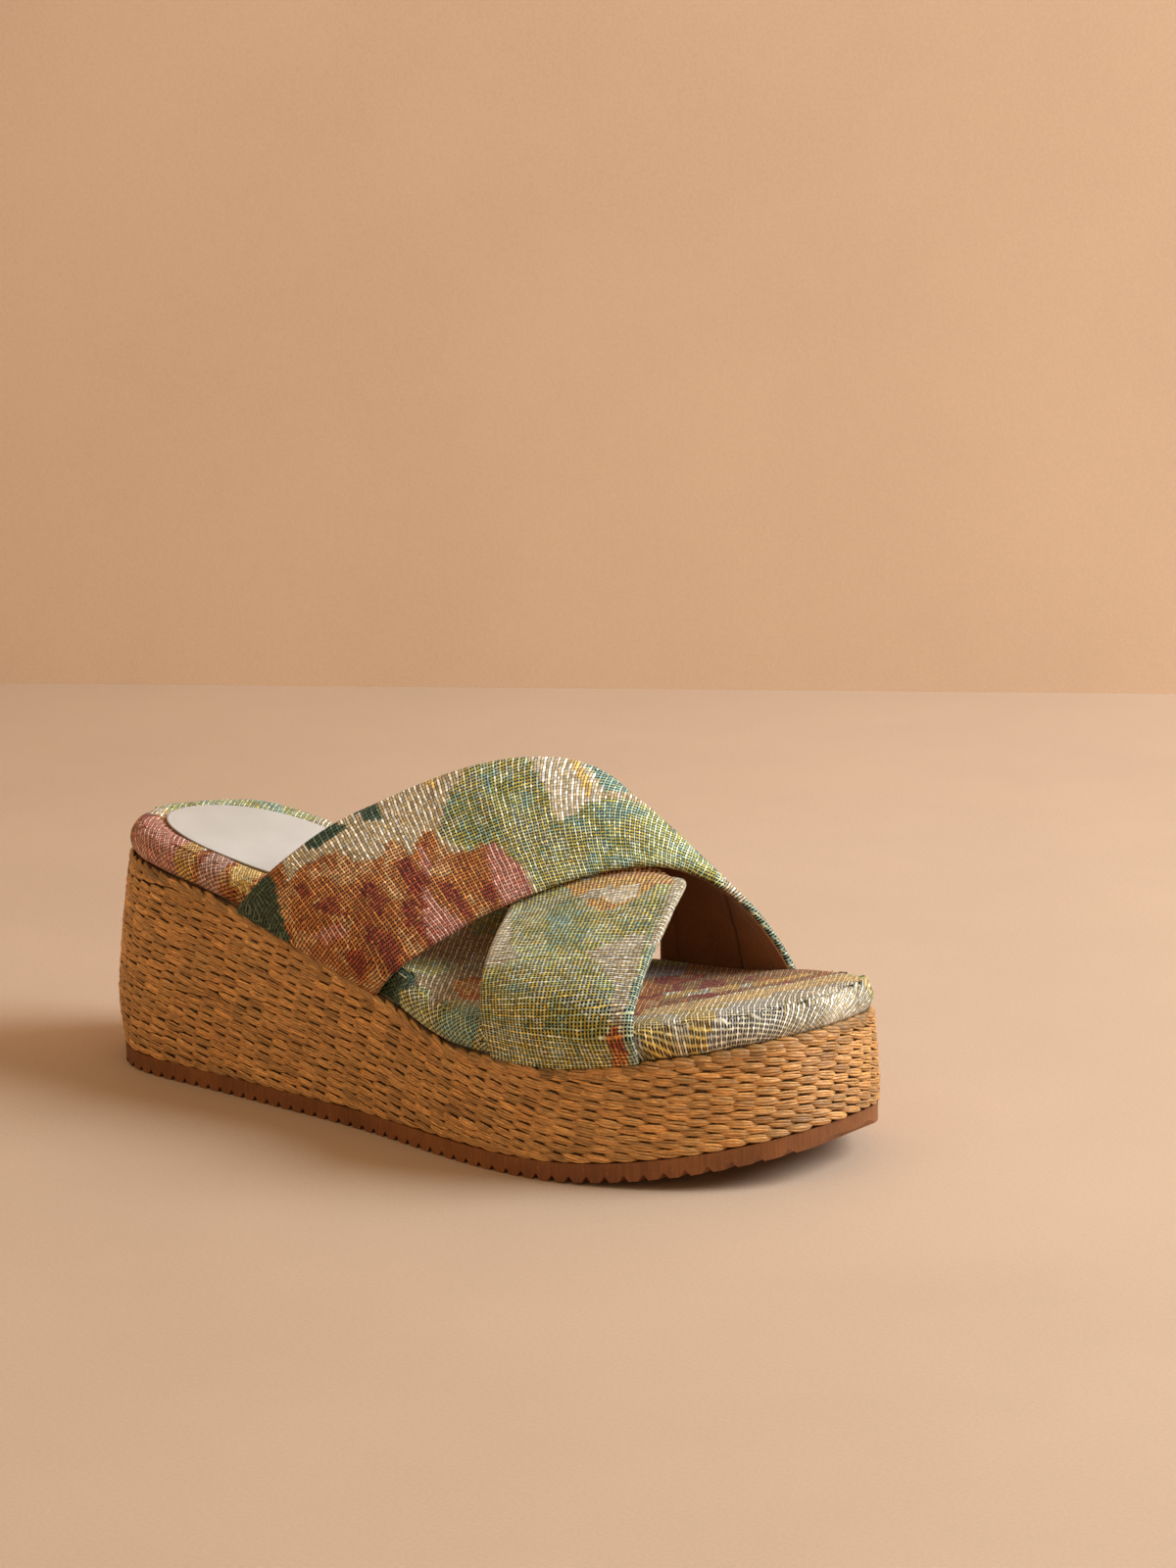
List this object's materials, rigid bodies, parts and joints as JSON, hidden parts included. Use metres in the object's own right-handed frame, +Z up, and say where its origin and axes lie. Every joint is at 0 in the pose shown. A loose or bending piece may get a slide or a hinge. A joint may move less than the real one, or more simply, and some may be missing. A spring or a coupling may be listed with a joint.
{
  "type": "platform wedge slide sandal",
  "caption": "Open-toe platform wedge slide: crossed fabric straps over a padded footbed, on a foam wedge wrapped in woven raffia with a rippled rubber outsole.",
  "frame": {"origin": "centre of the bounding box, at the bottom of the outsole where it rests on the ground", "axes": "+X to the toe, +Z up, -Y to the lateral (outer) side of a right foot"},
  "size_m": [0.2491, 0.0964, 0.0979],
  "materials": {
    "outsole_rubber": "matte, warm brown, translucent at the edge",
    "wedge_foam": "matte closed-cell foam",
    "raffia": "woven twisted paper raffia, satin strands",
    "filler_felt": "felt",
    "insole_board": "cellulose board",
    "footbed_foam": "soft open-cell foam",
    "footbed_tapestry": "floral jacquard, cream, rust, green and gold threads",
    "label_leather": "smooth cream synthetic leather, blank",
    "strap_tapestry": "floral jacquard, rust, green, cream and teal threads",
    "strap_foam": "thin soft foam",
    "strap_lining": "brown microfibre",
    "strap_tapestry_under": "floral jacquard, green, cream and gold threads"
  },
  "bodies": {
    "root": {"outsole": "outsole_rubber", "wedge_core": "wedge_foam", "raffia_wrap": "raffia", "bottom_filler": "filler_felt", "insole_board": "insole_board", "footbed_foam": "footbed_foam", "footbed_cover": "footbed_tapestry", "heel_label": "label_leather", "top_strap_fabric": "strap_tapestry", "top_strap_padding": "strap_foam", "top_strap_lining": "strap_lining", "under_strap_fabric": "strap_tapestry_under", "under_strap_padding": "strap_foam", "under_strap_lining": "strap_lining"}
  },
  "joints": []
}
